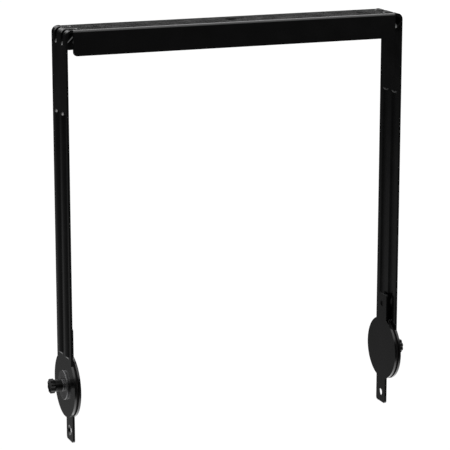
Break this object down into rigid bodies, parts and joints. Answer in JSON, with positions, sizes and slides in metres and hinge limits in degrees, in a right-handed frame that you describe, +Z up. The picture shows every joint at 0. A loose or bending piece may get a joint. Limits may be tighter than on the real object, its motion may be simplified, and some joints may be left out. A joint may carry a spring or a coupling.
{
  "type": "tilting mounting yoke",
  "caption": "U-shaped folded steel yoke that hangs from its crossbar and carries a cabinet between tilting pivot plates, clamped by hand knobs on the arms.",
  "frame": {"origin": "middle of the crossbar's centre hole, at the height of the crossbar's top face", "axes": "+X along the crossbar from the left arm to the right arm, +Y from the front to the back, +Z up"},
  "size_m": [0.703, 0.119, 0.753],
  "materials": {
    "powder_coat": "satin black powder coat with a fine orange-peel surface",
    "black_steel": "black passivated steel, satin",
    "knob_plastic": "black glass-filled nylon, fine grained",
    "insert_brass": "machined brass",
    "friction_fibre": "dark pressed fibre, dull"
  },
  "bodies": {
    "frame": {"yoke": "powder_coat", "left_friction_disc": "friction_fibre", "right_friction_disc": "friction_fibre"},
    "left_tilt": {"left_tilt_plate": "powder_coat", "left_pivot_stud": "black_steel"},
    "right_tilt": {"right_tilt_plate": "powder_coat", "right_pivot_stud": "black_steel"},
    "left_clamp": {"left_pressure_washer": "black_steel", "left_lock_washer": "black_steel"},
    "right_clamp": {"right_pressure_washer": "black_steel", "right_lock_washer": "black_steel"},
    "left_grip": {"left_knob": "knob_plastic", "left_knob_insert": "insert_brass"},
    "right_grip": {"right_knob": "knob_plastic", "right_knob_insert": "insert_brass"}
  },
  "joints": [
    {"name": "left_tilt_turn", "type": "hinge", "parent": "frame", "child": "left_tilt", "pos_m": [-0.3225, 0, -0.646], "axis": [1, 0, 0], "continuous": true},
    {"name": "right_tilt_turn", "type": "hinge", "parent": "frame", "child": "right_tilt", "pos_m": [0.3225, 0, -0.646], "axis": [1, 0, 0], "continuous": true},
    {"name": "left_clamp_slide", "type": "slide", "parent": "left_tilt", "child": "left_clamp", "axis": [-1, 0, 0], "range_m": [0, 0.0035]},
    {"name": "right_clamp_slide", "type": "slide", "parent": "right_tilt", "child": "right_clamp", "axis": [1, 0, 0], "range_m": [0, 0.0035]},
    {"name": "left_knob_turn", "type": "hinge", "parent": "left_clamp", "child": "left_grip", "pos_m": [-0.34, 0, -0.646], "axis": [-1, 0, 0], "range_deg": [0, 720]},
    {"name": "right_knob_turn", "type": "hinge", "parent": "right_clamp", "child": "right_grip", "pos_m": [0.34, 0, -0.646], "axis": [1, 0, 0], "range_deg": [0, 720]}
  ],
  "couplings": [
    {"joint": "left_knob_turn", "follows": "left_clamp_slide", "rad_per_m": 3590},
    {"joint": "right_knob_turn", "follows": "right_clamp_slide", "rad_per_m": 3590}
  ]
}
